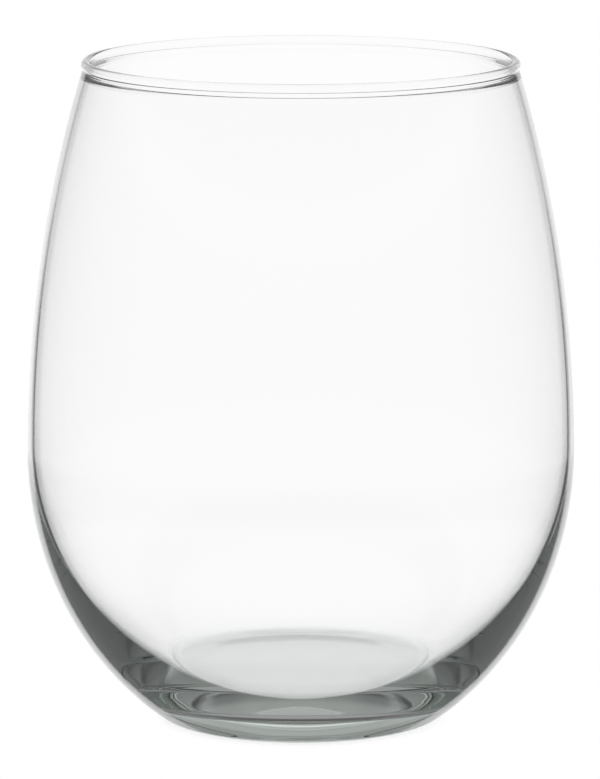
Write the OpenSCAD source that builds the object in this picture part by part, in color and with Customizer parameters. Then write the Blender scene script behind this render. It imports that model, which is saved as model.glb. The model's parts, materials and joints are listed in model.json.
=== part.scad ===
// Stemless wine glass: one piece of clear glass, turned about +Z.
// The origin is on the table, in the middle of the ring that the glass stands on.

/* [Outside] */
// Height from the table to the top of the lip
glass_h = 111; // [100:0.5:125]
// Widest outside diameter, at the belly
belly_d = 91.6; // [86:0.2:100]
// Height of the widest place outside
belly_z = 45.3; // [40:0.1:50]
// Outside diameter that the wall's curve reaches at the top of the glass
mouth_d = 71.4; // [64:0.2:78]
// Diameter at which the curve of the side would meet the table
foot_d = 45.2; // [42:0.2:54]

/* [Inside] */
// Wall just under the lip
mouth_wall = 1.1; // [0.9:0.05:1.5]
// Wall at the widest place inside
belly_wall = 1.1; // [1:0.05:2.2]
// Height of the widest place inside, above the widest place outside
bowl_rise = 0.7; // [0:0.1:6]
// Diameter at which the curve of the bowl's side would meet the table
bowl_foot_d = 6; // [4:0.5:30]
// Height of the bowl's floor above the table, at the foot of its side
floor_z = 6.5; // [5:0.1:9]
// How much higher the floor lies in its middle
floor_dome = 0.25; // [0:0.05:1]
// Height above the floor at which its rounded edge runs into the side
corner_h = 0.7; // [0.2:0.05:3]

/* [Lip] */
// Thickness of the fire-rounded lip
lip_d = 1.65; // [1.3:0.05:2.2]
// How far the lip stands out from the wall's curve
lip_proud = 0.45; // [0.1:0.05:0.6]

/* [Foot] */
// Height at which the side runs into the rounded heel
heel_h = 0.9; // [0.3:0.05:1.5]
// Width of the flat ring that the glass stands on, inward from its rounded heel
ring_w = 3.877; // [2:0.001:6]
// Depth of the hollow under the glass, on the axis
hollow_h = 0.4; // [0.2:0.05:2]

/* [Smoothness] */
// Steps in each long curve of the section
curve_steps = 32; // [12:2:64]
// Steps in each short bend of the section
bend_steps = 8; // [4:1:16]
// Facets round the glass in a preview
turn_facets = 180; // [48:12:360]

/* [Hidden] */
belly_r = belly_d / 2;
mouth_r = mouth_d / 2;
bowl_r = belly_r - belly_wall;
bowl_z = belly_z + bowl_rise;
bowl_mouth_r = mouth_r - mouth_wall;
// Half height of the ellipses that the lower side and the bowl's side are parts of
side_h = ellipse_h(belly_r, belly_z, foot_d / 2);
bowl_side_h = ellipse_h(bowl_r, bowl_z, bowl_foot_d / 2);
// Heel's bend up to the side, and the ring's radius inside it
heel_points = foot_bend(belly_r, belly_z, side_h, heel_h, 0);
ring_ir = heel_points[0][0] - ring_w;
// Height of the lip's centre, where the wall ends inside the lip
lip_z = glass_h - lip_d / 2;

// Half height of an ellipse that is widest, r, at height z and has the radius foot_r on the table
function ellipse_h(r, z, foot_r) = z / sqrt(1 - pow(foot_r / r, 2));

// Angle on such an ellipse, counted down from its widest place, at height at_z
function ellipse_angle(z, h, at_z) = asin((z - at_z) / h);

// Point on such an ellipse
function ellipse_point(r, z, h, angle) = [r * cos(angle), z - h * sin(angle)];

// Steepness of such an ellipse, as an angle above the level
function ellipse_slope(r, h, angle) = atan2(h * cos(angle), r * sin(angle));

// Ellipse from its widest place down to height end_z
function ellipse_points(r, z, h, end_z) =
    let (end = ellipse_angle(z, h, end_z))
    [for (i = [0 : curve_steps]) ellipse_point(r, z, h, end * i / curve_steps)];

// Round bend from a level at height flat_z out to the point touch, which it passes at the given slope
function bend_points(touch, slope, flat_z) =
    let (
        bend_r = (touch[1] - flat_z) / (1 - cos(slope)),
        centre_x = touch[0] - bend_r * sin(slope)
    )
    [for (i = [0 : bend_steps - 1])
        let (turn = slope * i / bend_steps)
        [centre_x + bend_r * sin(turn), flat_z + bend_r * (1 - cos(turn))]];

// Bend that ends on an ellipse at height end_z
function foot_bend(r, z, h, end_z, flat_z) =
    let (angle = ellipse_angle(z, h, end_z))
    bend_points(ellipse_point(r, z, h, angle), ellipse_slope(r, h, angle), flat_z);

// Radius of an arc that starts along one direction and leaves it by dr after a run of dz
function arc_radius(dr, dz) = (dr * dr + dz * dz) / (2 * dr);

// Radius at height z of a wall that stands upright at (r0, z0) and reaches r1 at the top of the glass
function wall_r(z, r0, z0, r1) =
    let (arc_r = arc_radius(r0 - r1, glass_h - z0))
    r0 - arc_r + sqrt(arc_r * arc_r - pow(z - z0, 2));

// That wall from just above its widest place up to the lip's centre
function wall_points(r0, z0, r1) =
    [for (i = [1 : curve_steps])
        let (z = z0 + (lip_z - z0) * i / curve_steps)
        [wall_r(z, r0, z0, r1), z]];

// Shallow dish from the axis out to radius r: level at both ends, and lower by depth in the middle, or
// higher where depth is below zero
function dish_points(r, edge_z, depth) =
    [for (i = [0 : curve_steps])
        [r * i / curve_steps, edge_z - depth * (1 + cos(180 * i / curve_steps)) / 2]];

function reversed(list) = [for (i = [len(list) - 1 : -1 : 0]) list[i]];

// Underside and outside of the glass, from the axis up to the lip
function outside_points() = concat(
    dish_points(ring_ir, 0, -hollow_h),
    heel_points,
    reversed(ellipse_points(belly_r, belly_z, side_h, heel_h)),
    wall_points(belly_r, belly_z, mouth_r)
);

// Inside of the bowl, from the axis up to the lip
function bowl_points() =
    let (corner = foot_bend(bowl_r, bowl_z, bowl_side_h, floor_z + corner_h, floor_z))
    concat(
        dish_points(corner[0][0], floor_z, -floor_dome),
        [for (i = [1 : bend_steps - 1]) corner[i]],
        reversed(ellipse_points(bowl_r, bowl_z, bowl_side_h, floor_z + corner_h)),
        wall_points(bowl_r, bowl_z, bowl_mouth_r)
    );

module lip_section() {
    translate([wall_r(lip_z, belly_r, belly_z, mouth_r) + lip_proud - lip_d / 2, lip_z])
        circle(d = lip_d, $fn = 48);
}

module glass() {
    color([0.82, 0.88, 0.86, 0.45])
        rotate_extrude($fn = turn_facets) {
            polygon(concat(outside_points(), reversed(bowl_points())));
            lip_section();
        }
}

glass();
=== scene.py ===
"""Looks of a stemless wine glass: clear glass on a white table under plain soft light.

Sizes are in millimetres in the classes and become metres where a mesh is made.
"""

import json
import logging
import math
from dataclasses import dataclass, field
from typing import ClassVar

import bpy
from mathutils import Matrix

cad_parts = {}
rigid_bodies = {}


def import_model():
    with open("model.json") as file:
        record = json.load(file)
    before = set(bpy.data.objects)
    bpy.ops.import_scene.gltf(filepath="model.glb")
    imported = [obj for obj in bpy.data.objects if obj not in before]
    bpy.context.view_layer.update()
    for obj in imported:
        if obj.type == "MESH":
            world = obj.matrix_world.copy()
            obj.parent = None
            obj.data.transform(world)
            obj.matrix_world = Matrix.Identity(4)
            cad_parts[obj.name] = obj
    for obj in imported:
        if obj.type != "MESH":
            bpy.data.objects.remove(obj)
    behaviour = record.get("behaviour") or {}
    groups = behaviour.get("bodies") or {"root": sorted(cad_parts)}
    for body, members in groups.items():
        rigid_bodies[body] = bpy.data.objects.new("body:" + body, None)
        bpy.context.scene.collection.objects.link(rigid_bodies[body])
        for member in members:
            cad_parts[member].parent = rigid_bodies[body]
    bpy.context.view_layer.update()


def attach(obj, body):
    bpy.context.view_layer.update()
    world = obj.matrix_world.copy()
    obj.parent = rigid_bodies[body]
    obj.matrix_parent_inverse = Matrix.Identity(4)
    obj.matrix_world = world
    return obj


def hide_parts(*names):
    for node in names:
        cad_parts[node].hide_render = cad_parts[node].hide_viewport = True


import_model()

MM = 0.001
LOG = logging.getLogger("glass")

# Points in each stretch of the section
CURVE_POINTS = 72
DISH_POINTS = 28
BEND_POINTS = 14
LIP_POINTS = 40
NECK_POINTS = 5

Point = tuple[float, float]
Colour = tuple[float, float, float, float]

WHITE: Colour = (1.0, 1.0, 1.0, 1.0)


class Value:
    """A number socket of a node tree. Python's operators on it add Math nodes."""

    def __init__(self, tree: "Tree", socket: bpy.types.NodeSocket) -> None:
        """Wrap one socket.

        Args:
            tree: The tree that the socket belongs to.
            socket: The output socket to wrap.
        """
        self.tree = tree
        self.socket = socket

    def __add__(self, other: "float | Value") -> "Value":
        """Sum of the two."""
        return self.tree.math("ADD", self, other)

    def __radd__(self, other: float) -> "Value":
        """Sum with a number on the left."""
        return self.tree.math("ADD", other, self)

    def __sub__(self, other: "float | Value") -> "Value":
        """Difference of the two."""
        return self.tree.math("SUBTRACT", self, other)

    def __rsub__(self, other: float) -> "Value":
        """Difference with a number on the left."""
        return self.tree.math("SUBTRACT", other, self)

    def __mul__(self, other: "float | Value") -> "Value":
        """Product of the two."""
        return self.tree.math("MULTIPLY", self, other)

    def __rmul__(self, other: float) -> "Value":
        """Product with a number on the left."""
        return self.tree.math("MULTIPLY", other, self)

    def __truediv__(self, other: "float | Value") -> "Value":
        """Quotient of the two."""
        return self.tree.math("DIVIDE", self, other)

    def __or__(self, other: "Value") -> "Value":
        """Larger of the two, which joins two masks."""
        return self.tree.math("MAXIMUM", self, other)

    def between(self, low: float, high: float) -> "Value":
        """Mask that rises smoothly from 0 at low to 1 at high.

        Args:
            low: Value at which the mask is 0.
            high: Value at which the mask is 1, which may lie below low.

        Returns:
            The mask.
        """
        if low > high:
            return 1 - self.between(high, low)
        made = self.tree.node("ShaderNodeMapRange", {"interpolation_type": "SMOOTHSTEP"},
                              {"Value": self, "From Min": low, "From Max": high})
        return Value(self.tree, made.outputs["Result"])


class Tree:
    """A node tree that is written from Python."""

    def __init__(self, nodes: bpy.types.NodeTree) -> None:
        """Take over a tree and empty it."""
        self.nodes = nodes
        nodes.nodes.clear()

    def node(self, kind: str, settings: dict[str, object] | None = None,
             sockets: dict[str, object] | None = None) -> bpy.types.Node:
        """Add one node.

        Args:
            kind: The node's type, such as ShaderNodeMath.
            settings: Properties of the node, which are set first.
            sockets: What each input gets, by identifier or name: a number, a colour, a Value or a socket.

        Returns:
            The new node.
        """
        made = self.nodes.nodes.new(kind)
        for name, value in (settings or {}).items():
            setattr(made, name, value)
        for name, value in (sockets or {}).items():
            found = next(s for s in made.inputs if name in (s.identifier, s.name))
            if isinstance(value, Value):
                value = value.socket
            if isinstance(value, bpy.types.NodeSocket):
                self.nodes.links.new(value, found)
            else:
                found.default_value = value
        return made

    def value(self, kind: str, output: str, settings: dict[str, object] | None = None,
              sockets: dict[str, object] | None = None) -> Value:
        """Add one node and take one of its outputs as a number.

        Args:
            kind: The node's type.
            output: Name of the output.
            settings: Properties of the node.
            sockets: What each input gets.

        Returns:
            The output.
        """
        return Value(self, self.node(kind, settings, sockets).outputs[output])

    def math(self, operation: str, *parts: "float | Value") -> Value:
        """One Math node.

        Args:
            operation: The node's operation.
            parts: Its inputs in order.

        Returns:
            The result.
        """
        keys = ("Value", "Value_001", "Value_002")
        return self.value("ShaderNodeMath", "Value", {"operation": operation}, dict(zip(keys, parts)))

    def mix(self, factor: "float | Value", low: Colour, high: Colour) -> bpy.types.NodeSocket:
        """Mix two colours.

        Args:
            factor: Share of the second colour.
            low: Colour at 0.
            high: Colour at 1.

        Returns:
            The mixed colour's socket.
        """
        made = self.node("ShaderNodeMix", {"data_type": "RGBA"},
                         {"Factor_Float": factor, "A_Color": low, "B_Color": high})
        return next(s for s in made.outputs if s.identifier == "Result_Color")

    def blend(self, factor: Value, first: bpy.types.Node, second: bpy.types.Node) -> bpy.types.Node:
        """Mix two shaders.

        Args:
            factor: Share of the second shader.
            first: Shader at 0.
            second: Shader at 1.

        Returns:
            The Mix Shader node.
        """
        return self.node("ShaderNodeMixShader", None,
                         {"Fac": factor, "Shader": first.outputs[0], "Shader_001": second.outputs[0]})

    def grey(self, level: Value) -> bpy.types.NodeSocket:
        """Colour without a hue that has a brightness."""
        made = self.node("ShaderNodeCombineColor", None, {"Red": level, "Green": level, "Blue": level})
        return made.outputs["Color"]

    def place(self, source: str) -> tuple[Value, Value, Value]:
        """The three numbers of a texture coordinate.

        Args:
            source: Which coordinate, such as Object or Generated.

        Returns:
            Its x, y and z.
        """
        where = self.node("ShaderNodeTexCoord").outputs[source]
        made = self.node("ShaderNodeSeparateXYZ", None, {"Vector": where})
        return tuple(Value(self, s) for s in made.outputs)

    def from_axis(self, x: Value, y: Value) -> Value:
        """Distance of a place from the axis."""
        return self.math("SQRT", x * x + y * y)

    def curve(self, value: Value, points: tuple[Point, ...]) -> "float | Value":
        """Number that goes smoothly from point to point.

        Args:
            value: What it depends on.
            points: Place and level of each point, in rising order of place.

        Returns:
            The number.
        """
        level: float | Value = points[0][1]
        for (start, old), (end, new) in zip(points, points[1:]):
            if new != old:
                level = value.between(start, end) * (new - old) + level
        return level

    def ray(self, *kinds: str) -> Value:
        """Mask of the rays of some kinds.

        Args:
            kinds: Outputs of Light Path.

        Returns:
            1 for a ray of any of the kinds, or the count where the one output is a count.
        """
        made = self.node("ShaderNodeLightPath")
        mask = Value(self, made.outputs[kinds[0]])
        for kind in kinds[1:]:
            mask = mask | Value(self, made.outputs[kind])
        return mask


# How often the glass has thrown a ray back, at least, for each of the levels inside
COUNTS = (1, 2, 5, 7, 9, 12)


@dataclass(frozen=True)
class Bounced:
    """Masks of the rays that the glass has thrown back."""

    off_outside: Value
    inside: tuple[Value, ...]

    @classmethod
    def seen_by(cls, tree: Tree) -> "Bounced":
        """Masks for a tree's own rays.

        Args:
            tree: Tree of a material or a world.

        Returns:
            The rays thrown back by the outside, and those thrown back inside the glass at least as often as
            each of the counts.
        """
        times = tree.ray("Glossy Depth")
        inside = tree.ray("Transmission Depth").between(0.0, 1.0)
        return cls(times.between(0.0, 1.0) * (1 - inside),
                   tuple(times.between(count - 1.0, count) * inside for count in COUNTS))


@dataclass(frozen=True)
class Levels:
    """Brightness of a part of the studio along a place or a height, for each kind of ray. White is 1."""

    off_outside: tuple[Point, ...]
    inside: tuple[tuple[Point, ...], ...]

    def seen(self, tree: Tree, along: Value, rays: Bounced) -> Value:
        """Brightness that a ray sees. One that wasn't thrown back sees white.

        Args:
            tree: Tree of the material or the world.
            along: Where the ray ends.
            rays: Masks of the tree's rays.

        Returns:
            The brightness.
        """
        level = 1 - rays.off_outside * (1 - tree.curve(along, self.off_outside))
        for mask, points in zip(rays.inside, self.inside):
            level = level + mask * (tree.curve(along, points) - level)
        return level


def spread(start: float, end: float, count: int) -> list[float]:
    """Evenly spaced numbers, both ends included.

    Args:
        start: First number.
        end: Last number.
        count: How many.

    Returns:
        The numbers.
    """
    return [start + (end - start) * i / (count - 1) for i in range(count)]


def share(value: float, start: float, end: float) -> float:
    """How far a value lies from start to end, held between 0 and 1.

    Args:
        value: The value.
        start: Where the share is 0.
        end: Where it is 1.

    Returns:
        The share.
    """
    return min(max((value - start) / (end - start), 0.0), 1.0)


@dataclass
class Ellipse:
    """Ellipse that is widest at a height, and that the lower side or the bowl is part of."""

    wide_r: float
    wide_z: float
    table_r: float

    @property
    def half_height(self) -> float:
        """Half height of the ellipse that has the radius table_r on the table."""
        return self.wide_z / math.sqrt(1 - (self.table_r / self.wide_r) ** 2)

    def turn(self, z: float) -> float:
        """Angle at height z, counted down from the widest place."""
        return math.asin((self.wide_z - z) / self.half_height)

    def at(self, turn: float) -> Point:
        """Point at an angle."""
        return self.wide_r * math.cos(turn), self.wide_z - self.half_height * math.sin(turn)

    def steepness(self, turn: float) -> float:
        """Slope at an angle, as an angle above the level."""
        return math.atan2(self.half_height * math.cos(turn), self.wide_r * math.sin(turn))

    def down_to(self, z: float) -> list[Point]:
        """Points from the widest place down to height z."""
        return [self.at(t) for t in spread(0, self.turn(z), CURVE_POINTS)]

    def bend(self, z: float, level_z: float) -> list[Point]:
        """Round bend from a level out to the ellipse.

        Args:
            z: Height at which the bend meets the ellipse.
            level_z: Height of the level.

        Returns:
            The bend, from the level outward.
        """
        turn = self.turn(z)
        touch, slope = self.at(turn), self.steepness(turn)
        radius = (touch[1] - level_z) / (1 - math.cos(slope))
        middle = touch[0] - radius * math.sin(slope)
        return [(middle + radius * math.sin(a), level_z + radius * (1 - math.cos(a)))
                for a in spread(0, slope, BEND_POINTS)]


@dataclass
class Wall:
    """Upper wall: an arc that stands upright at its foot and leans in towards the mouth."""

    foot_r: float
    foot_z: float
    top_r: float
    top_z: float

    def radius(self, z: float) -> float:
        """Radius of the wall at height z."""
        lean, rise = self.foot_r - self.top_r, self.top_z - self.foot_z
        arc = (lean * lean + rise * rise) / (2 * lean)
        return self.foot_r - arc + math.sqrt(arc * arc - (z - self.foot_z) ** 2)

    def up_to(self, z: float) -> list[Point]:
        """Points from the foot up to height z."""
        return [(self.radius(h), h) for h in spread(self.foot_z, z, CURVE_POINTS)]


@dataclass
class GlassSection:
    """Half section of the glass, in the CAD model's own sizes.

    The ring underneath is crowned by a few hundredths of a millimetre, as a pressed foot is. It touches the
    table at ring_low_r. The walls end lip_zone below the top, and the lip's own points start lip_step above
    them. Shares are of the lip's radius, and lip_from and lip_to are angles round the lip.
    """

    glass_h: float = 111.0
    belly_d: float = 91.6
    belly_z: float = 45.3
    mouth_d: float = 71.4
    foot_d: float = 45.2
    mouth_wall: float = 1.1
    belly_wall: float = 1.1
    bowl_rise: float = 0.7
    bowl_foot_d: float = 6.0
    floor_z: float = 6.5
    floor_dome: float = 0.25
    corner_h: float = 0.7
    lip_d: float = 1.65
    lip_proud: float = 0.45
    lip_zone: float = 2.4
    lip_step: float = 0.05
    neck_share: float = 0.9
    lip_from: float = math.asin(-0.9) * 0.6
    lip_to: float = math.pi + math.asin(0.82)
    heel_h: float = 0.9
    heel_z: float = 0.045
    ring_id: float = 34.4
    ring_low_r: float = 19.15
    ring_crown: float = 0.05
    hollow_h: float = 0.4

    @property
    def outer_wall(self) -> Wall:
        """Outside above the belly."""
        return Wall(self.belly_d / 2, self.belly_z, self.mouth_d / 2, self.glass_h)

    @property
    def wall_end_z(self) -> float:
        """Height at which the walls end and the lip takes over."""
        return self.glass_h - self.lip_zone

    def underside(self, heel_r: float) -> list[Point]:
        """Hollow and the ring round it, from the axis out to the heel.

        Args:
            heel_r: Radius at which the heel's bend starts.

        Returns:
            The underside, from the axis outward.
        """
        inner_r = self.ring_id / 2
        curve = self.ring_crown / (heel_r - self.ring_low_r) ** 2
        inner_z = curve * (inner_r - self.ring_low_r) ** 2
        hollow = [(r, inner_z + (self.hollow_h - inner_z) * (1 - (r / inner_r) ** 2))
                  for r in spread(0, inner_r, DISH_POINTS)]
        ring = [(r, curve * (r - self.ring_low_r) ** 2) for r in spread(inner_r, heel_r, BEND_POINTS)]
        return hollow + ring[1:-1]

    def outside(self) -> list[Point]:
        """Underside, heel, side and outer wall, from the axis up to the lip."""
        side = Ellipse(self.belly_d / 2, self.belly_z, self.foot_d / 2)
        heel = side.bend(self.heel_h, self.heel_z)[1:]
        return (self.underside(heel[0][0])
                + heel
                + side.down_to(self.heel_h)[::-1][1:]
                + self.outer_wall.up_to(self.wall_end_z)[1:])

    def bowl(self) -> list[Point]:
        """Inner wall and floor, from the lip down to the axis."""
        bowl_r = self.belly_d / 2 - self.belly_wall
        bowl_z = self.belly_z + self.bowl_rise
        side = Ellipse(bowl_r, bowl_z, self.bowl_foot_d / 2)
        wall = Wall(bowl_r, bowl_z, self.mouth_d / 2 - self.mouth_wall, self.glass_h)
        bend = side.bend(self.floor_z + self.corner_h, self.floor_z)
        edge_r = bend[0][0]
        floor = [(r, self.floor_z + self.floor_dome * (1 + math.cos(math.pi * r / edge_r)) / 2)
                 for r in spread(0, edge_r, DISH_POINTS)]
        return (wall.up_to(self.wall_end_z)[::-1]
                + side.down_to(self.floor_z + self.corner_h)[1:]
                + bend[::-1][1:]
                + floor[::-1][1:])

    def lip(self) -> list[Point]:
        """Fire-rounded lip, from the outer wall over the top to the inner wall."""
        wall = self.outer_wall
        radius = self.lip_d / 2
        middle_z = self.glass_h - radius
        middle_r = wall.radius(middle_z) + self.lip_proud - radius
        inner_r = wall.radius(middle_z - radius) - self.mouth_wall
        neck = spread(self.wall_end_z + self.lip_step, middle_z - radius * self.neck_share, NECK_POINTS)
        return ([(wall.radius(z), z) for z in neck]
                + [(middle_r + radius * math.cos(a), middle_z + radius * math.sin(a))
                   for a in spread(self.lip_from, self.lip_to, LIP_POINTS)]
                + [(inner_r, z) for z in neck[::-1]])

    def outline(self) -> list[Point]:
        """Whole outline, from the axis underneath round to the axis on the bowl's floor."""
        return self.outside() + self.lip() + self.bowl()


def circle(count: int) -> list[Point]:
    """Cosine and sine of evenly spaced turns.

    Args:
        count: How many turns.

    Returns:
        The pairs, from a turn of zero.
    """
    turns = [2 * math.pi * i / count for i in range(count)]
    return [(math.cos(t), math.sin(t)) for t in turns]


def add_object(name: str, points: list[tuple[float, float, float]], faces: list[tuple[int, ...]],
               smooth: bool) -> bpy.types.Object:
    """Make a mesh object and put it in the scene.

    Args:
        name: Name of the new object.
        points: Its points in metres.
        faces: Its faces.
        smooth: Whether it is shaded smooth.

    Returns:
        The new object.
    """
    mesh = bpy.data.meshes.new(name)
    mesh.from_pydata(points, [], faces)
    mesh.polygons.foreach_set("use_smooth", [smooth] * len(mesh.polygons))
    mesh.update()
    made = bpy.data.objects.new(name, mesh)
    bpy.context.scene.collection.objects.link(made)
    return made


def revolve(name: str, outline: list[Point], steps: int) -> bpy.types.Object:
    """Turn a half section about the axis into a smooth closed mesh.

    Args:
        name: Name of the new object.
        outline: Radius and height of each point in millimetres. Both ends lie on the axis.
        steps: Facets round the axis.

    Returns:
        The new object.
    """
    turns = circle(steps)
    middle = outline[1:-1]
    points = [(0.0, 0.0, outline[0][1] * MM)]
    points += [(r * c * MM, r * s * MM, z * MM) for r, z in middle for c, s in turns]
    points.append((0.0, 0.0, outline[-1][1] * MM))
    last = len(points) - 1
    top = last - steps
    faces: list[tuple[int, ...]] = []
    for i in range(steps):
        j = (i + 1) % steps
        faces.append((0, 1 + j, 1 + i))
        faces += [(low + i, low + j, low + steps + j, low + steps + i) for low in range(1, top, steps)]
        faces.append((top + i, top + j, last))
    return add_object(name, points, faces, True)


@dataclass(frozen=True)
class ClearGlass:
    """Soda-lime glass: clear, faintly green where it is thick, and rubbed dull on the ring it stands on.

    Radii and heights are in millimetres. The surface ripples a little along the way that the glass flowed.
    The outside throws back less light at low angles than a polished one. A thin dark line of painted shade is
    mixed in where the bowl's wall is seen nearly side-on, and where rays inside the glass meet that wall near
    the angle of total reflection; it stands in for the dark room that the wall bends into view.
    """

    ior: float = 1.52
    tint: Colour = (0.35, 0.72, 0.5, 1.0)
    density: float = 2.6
    ring_in_r: float = 17.2
    ring_out_r: float = 21.1
    ring_soft: float = 0.4
    ring_height: Point = (0.12, 0.04)
    rubbed_colour: Colour = (0.9, 0.92, 0.91, 1.0)
    rubbed_rough: float = 0.08
    scuff_scale: float = 900.0
    scuff_detail: float = 3.0
    scuff_mask: Point = (0.6, 0.8)
    ripple: float = 0.03
    ripple_round: float = 60.0
    ripple_up: float = 9.0
    ripple_detail: float = 2.0
    # Painted shade: mask, strength and colour of the dark line on the bowl's wall, and the angles near total
    # reflection at which rays inside the glass also get it
    painted_line_mask: Point = (0.05, 0.015)
    painted_line_dark: float = 0.88
    painted_line_colour: Colour = (0.03, 0.033, 0.032, 1.0)
    painted_within_rise: Point = (0.747, 0.7505)
    painted_within_fall: Point = (0.7535, 0.756)
    sheen_mask: Point = (0.19, 0.23)
    sheen_lost: float = 0.8

    def rubbed(self, tree: Tree) -> Value:
        """Mask of the scuffs on the ring.

        Args:
            tree: The material's tree.

        Returns:
            The mask.
        """
        x, y, z = tree.place("Object")
        radius = tree.from_axis(x, y)
        low, high = self.ring_height
        on_ring = (radius.between((self.ring_in_r - self.ring_soft) * MM, self.ring_in_r * MM)
                   * radius.between((self.ring_out_r + self.ring_soft) * MM, self.ring_out_r * MM)
                   * z.between(low * MM, high * MM))
        scuffs = tree.value("ShaderNodeTexNoise", "Fac", {"noise_dimensions": "3D"},
                            {"Scale": self.scuff_scale, "Detail": self.scuff_detail,
                             "Vector": tree.node("ShaderNodeTexCoord").outputs["Object"]})
        return on_ring * scuffs.between(*self.scuff_mask)

    def rippled(self, tree: Tree) -> bpy.types.NodeSocket:
        """Normal of the faintly rippled surface.

        Args:
            tree: The material's tree.

        Returns:
            The normal's socket.
        """
        x, y, z = tree.place("Object")
        stretched = tree.node("ShaderNodeCombineXYZ", None, {
            "X": x * self.ripple_round, "Y": y * self.ripple_round, "Z": z * self.ripple_up})
        flow = tree.node("ShaderNodeTexNoise", {"noise_dimensions": "3D"},
                         {"Scale": 1.0, "Detail": self.ripple_detail, "Vector": stretched.outputs["Vector"]})
        bump = tree.node("ShaderNodeBump", None,
                         {"Strength": self.ripple, "Distance": MM, "Height": flow.outputs["Fac"]})
        return bump.outputs["Normal"]

    def make(self) -> bpy.types.Material:
        """Build the material."""
        material = bpy.data.materials.new("clear_glass_finish")
        material.use_nodes = True
        tree = Tree(material.node_tree)
        rubbed = self.rubbed(tree)
        facing = 1 - tree.value("ShaderNodeLayerWeight", "Facing", None, {"Blend": 0.5})
        from_air = 1 - tree.value("ShaderNodeNewGeometry", "Backfacing")
        # Strength of the painted dark line on the bowl's wall, stored on the mesh
        painted_line_reach = tree.value("ShaderNodeAttribute", "Fac", {"attribute_name": Glass.MARK})
        clear = tree.node("ShaderNodeBsdfPrincipled", None,
                          {"Base Color": tree.mix(rubbed, WHITE, self.rubbed_colour),
                           "Roughness": rubbed * self.rubbed_rough, "IOR": self.ior,
                           "Transmission Weight": 1.0, "Normal": self.rippled(tree)})
        calm = tree.node("ShaderNodeBsdfRefraction", None,
                         {"Color": WHITE, "Roughness": 0.0, "IOR": self.ior})
        lost = facing.between(*self.sheen_mask) * from_air * self.sheen_lost
        # Painted shade: a dark matt shader mixed in as a thin line on the bowl's wall, where it is seen nearly
        # side-on and where rays inside the glass meet it near the angle of total reflection
        shade = tree.node("ShaderNodeBsdfDiffuse", None, {"Color": self.painted_line_colour})
        painted_within = facing.between(*self.painted_within_rise) * (1 - facing.between(*self.painted_within_fall)) * (1 - from_air)
        edge = (facing.between(*self.painted_line_mask) * from_air | painted_within) * painted_line_reach * self.painted_line_dark
        surface = tree.blend(edge, tree.blend(lost, clear, calm), shade)
        inside = tree.node("ShaderNodeVolumeAbsorption", None, {"Color": self.tint, "Density": self.density})
        tree.node("ShaderNodeOutputMaterial", None,
                  {"Surface": surface.outputs[0], "Volume": inside.outputs[0]})
        return material


@dataclass
class Glass:
    """The glass itself: one turned body.

    The mark is a number on the mesh that sets how strongly the painted dark line, painted shade, is drawn. On
    the bowl's wall it rises over the heights of mark_rise, and falls again over those of mark_fall by the
    share mark_lost.
    """

    # Mesh number that sets the strength of the painted dark line
    MARK: ClassVar[str] = "painted_line_reach"

    section: GlassSection = field(default_factory=GlassSection)
    finish: ClearGlass = field(default_factory=ClearGlass)
    steps: int = 288
    mark_rise: Point = (24.0, 32.0)
    mark_fall: Point = (66.0, 94.0)
    mark_lost: float = 0.9

    def build(self) -> bpy.types.Object:
        """Make the body and put it in the CAD solid's place."""
        outline = self.section.outline()
        body = revolve("glass_body", outline, self.steps)
        self.mark_painted_line_reach(body, outline)
        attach(body, "root")
        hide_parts("glass")
        return body

    def mark_painted_line_reach(self, body: bpy.types.Object, outline: list[Point]) -> None:
        """Mark the inner wall of the bowl in the mesh, where the painted dark line is drawn.

        Args:
            body: The turned body.
            outline: The outline that it was turned from.
        """
        first = len(self.section.outside()) + len(self.section.lip())
        marks = [0.0]
        for i, (_, z) in enumerate(outline[1:-1], 1):
            mark = share(z, *self.mark_rise) * (1.0 - self.mark_lost * share(z, *self.mark_fall))
            marks += [mark if i >= first else 0.0] * self.steps
        marks.append(0.0)
        layer = body.data.attributes.new(self.MARK, "FLOAT", "POINT")
        layer.data.foreach_set("value", marks)

    def dress(self, body: bpy.types.Object) -> None:
        """Give the body its finish."""
        body.data.materials.append(self.finish.make())


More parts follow.
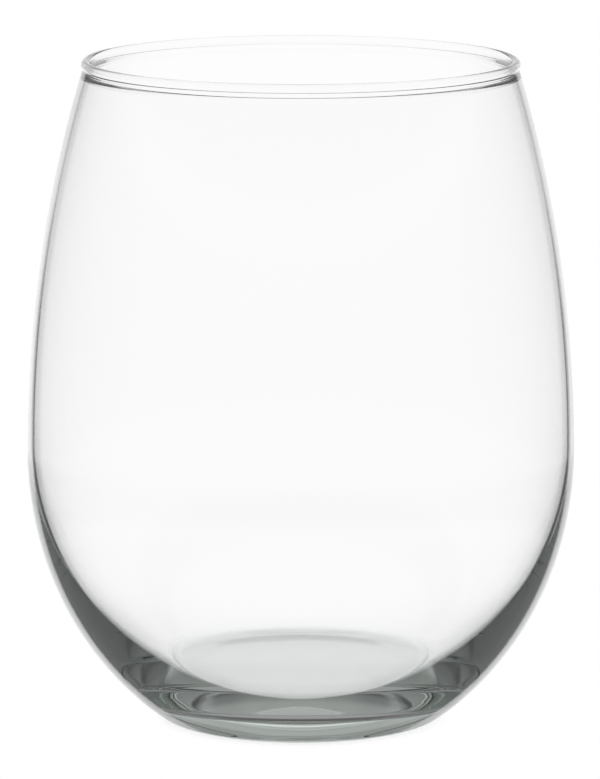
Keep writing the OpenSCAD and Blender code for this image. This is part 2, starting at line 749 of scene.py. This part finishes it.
@dataclass(frozen=True)
class WhiteTable:
    """Matt white table that shades softly round the foot and is plain white further out.

    Rays that the glass has thrown back see it glow at painted levels: painted shade, darkest round the ring
    that the glass stands on, and painted light above white for rays off the outside further out. Places are
    radii in millimetres.
    """

    colour: Colour = (0.98, 0.98, 0.98, 1.0)
    shade: Point = (20.5, 25.0)
    # Painted shade and painted light: what rays thrown back by the glass see on the table, darkest round the
    # ring the glass stands on, and above white for rays off the outside further out
    levels: Levels = Levels(
        off_outside=((21.0, 0.92), (23.0, 0.65), (25.0, 0.9), (30.0, 1.15), (45.0, 1.3)),
        inside=(
            ((16.7, 0.4), (17.3, 0.05), (21.2, 0.08), (22.5, 0.3), (24.5, 0.56), (30.0, 0.56), (34.0, 0.43),
             (40.0, 0.38), (58.0, 0.8)),
            ((10.0, 0.15), (16.8, 0.32), (17.2, 0.44), (19.8, 0.38), (20.4, 0.26), (23.0, 0.34), (25.0, 0.03),
             (31.0, 0.03), (40.0, 0.3), (52.0, 0.55)),
            ((20.0, 0.3), (24.0, 0.16)),
            ((18.0, 0.17), (23.0, 0.04), (28.0, 0.05), (34.0, 0.3)),
            ((20.0, 0.09), (27.0, 0.25)),
            ((20.0, 0.08), (30.0, 0.12))))

    def make(self) -> bpy.types.Material:
        """Build the material."""
        material = bpy.data.materials.new("white_table_finish")
        material.use_nodes = True
        tree = Tree(material.node_tree)
        x, y, _ = tree.place("Object")
        radius = tree.from_axis(x, y) / MM
        rays = Bounced.seen_by(tree)
        seen = tree.ray("Is Camera Ray", "Is Glossy Ray", "Is Transmission Ray")
        matt = tree.node("ShaderNodeBsdfDiffuse", None, {"Color": self.colour})
        # Glows white for rays that weren't thrown back, and at the painted levels of shade and light for rays
        # that the glass threw back
        plain = tree.node("ShaderNodeEmission", None,
                          {"Color": tree.grey(self.levels.seen(tree, radius, rays))})
        glow_or_painted_shade = radius.between(*self.shade) | rays.inside[0]
        surface = tree.blend(seen * glow_or_painted_shade, matt, plain)
        tree.node("ShaderNodeOutputMaterial", None, {"Surface": surface.outputs[0]})
        return material


@dataclass
class Table:
    """Round table top under the glass. It isn't part of the glass."""

    radius: float = 72.0
    gap: float = 0.05
    steps: int = 96
    finish: WhiteTable = field(default_factory=WhiteTable)

    def build(self) -> bpy.types.Object:
        """Make the disc."""
        rim = [(self.radius * MM * c, self.radius * MM * s, -self.gap * MM) for c, s in circle(self.steps)]
        disc = add_object("table", rim, [tuple(range(self.steps))], False)
        return disc

    def dress(self, disc: bpy.types.Object) -> None:
        """Give the disc its finish."""
        disc.data.materials.append(self.finish.make())


@dataclass
class Studio:
    """Plain white studio, with grey and dark cards that only show where thick glass throws light back.

    It is the same all round, so that the glass looks alike from each side. Places are heights as angles above
    the level, in degrees. Matt surfaces are lit at the level on_table.
    """

    on_table: float = 0.95
    levels: Levels = Levels(
        off_outside=((-10.0, 1.3), (0.0, 1.1), (15.0, 1.05), (30.0, 0.6), (50.0, 0.6), (70.0, 1.0)),
        inside=(
            ((-27.0, 0.75), (-22.0, 0.46), (-14.0, 0.42), (-9.0, 0.62), (12.0, 0.6), (20.0, 0.2), (29.0, 0.14),
             (35.0, 0.42), (60.0, 0.42), (80.0, 0.6)),
            ((-18.0, 0.35), (-6.0, 0.48), (3.0, 0.27), (10.0, 0.29), (18.0, 0.38), (50.0, 0.45)),
            ((-6.0, 0.1), (0.0, 0.15), (4.0, 0.3), (12.0, 0.28), (22.0, 0.14), (28.0, 0.03), (39.0, 0.03),
             (47.0, 0.45), (51.0, 0.95), (56.0, 0.9), (61.0, 0.38), (67.0, 0.36), (76.0, 0.9)),
            ((-18.0, 0.09), (3.0, 0.13), (7.0, 0.22), (20.0, 0.18), (36.0, 0.41), (50.0, 0.42), (53.0, 0.28),
             (58.0, 0.28), (68.0, 0.55), (80.0, 0.42)),
            ((-10.0, 0.09), (0.0, 0.03), (7.0, 0.13), (14.0, 0.1), (22.0, 0.04), (31.0, 0.03), (40.0, 0.19),
             (54.0, 0.25), (61.0, 0.5), (70.0, 0.26)),
            ((-10.0, 0.12), (5.0, 0.08), (38.0, 0.08), (54.0, 0.17), (66.0, 0.46))))

    def build(self) -> None:
        """Light the scene."""
        world = bpy.data.worlds.new("studio")
        bpy.context.scene.world = world
        world.use_nodes = True
        tree = Tree(world.node_tree)
        height = tree.math("ARCSINE", tree.place("Generated")[2]) * math.degrees(1)
        seen = self.levels.seen(tree, height, Bounced.seen_by(tree))
        level = seen + tree.ray("Diffuse Depth").between(0.0, 1.0) * (self.on_table - seen)
        light = tree.node("ShaderNodeBackground", None, {"Color": tree.grey(level)})
        tree.node("ShaderNodeOutputWorld", None, {"Surface": light.outputs[0]})


@dataclass
class Viewpoint:
    """Camera where the photographer stood."""

    distance: float = 995.9
    height: float = 225.35
    aside: float = -0.14
    pitch: float = 9.68
    focal_px: float = 6048.0
    long_side_px: float = 779.0
    sensor: float = 36.0
    clip_start: float = 50.0
    clip_end: float = 50000.0

    def build(self) -> None:
        """Set up the camera."""
        data = bpy.data.cameras.new("camera")
        data.sensor_width = self.sensor
        data.lens = self.focal_px / self.long_side_px * self.sensor
        data.clip_start, data.clip_end = self.clip_start * MM, self.clip_end * MM
        made = bpy.data.objects.new("camera", data)
        made.location = (self.aside * MM, -self.distance * MM, self.height * MM)
        made.rotation_euler = (math.radians(90.0 - self.pitch), 0.0, 0.0)
        bpy.context.scene.collection.objects.link(made)
        bpy.context.scene.camera = made


@dataclass(frozen=True)
class View:
    """Plain view settings, and enough bounces for rays to leave thick glass."""

    bounces: int = 64

    def build(self) -> None:
        """Set the scene up."""
        scene = bpy.context.scene
        scene.view_settings.view_transform = "Standard"
        scene.cycles.max_bounces = self.bounces
        scene.cycles.transmission_bounces = self.bounces
        scene.cycles.glossy_bounces = self.bounces
        scene.cycles.blur_glossy = 0.0
        scene.cycles.sample_clamp_indirect = 0.0


def main() -> None:
    """Build the scene in order and report each piece."""
    logging.basicConfig(level=logging.INFO, format="%(message)s")
    View().build()
    glass = Glass()
    body = glass.build()
    glass.dress(body)
    LOG.info("glass body: %d points", len(body.data.vertices))
    table = Table()
    disc = table.build()
    table.dress(disc)
    LOG.info("table: %.0f mm across", 2 * table.radius)
    Studio().build()
    Viewpoint().build()


if __name__ == "__main__":
    main()
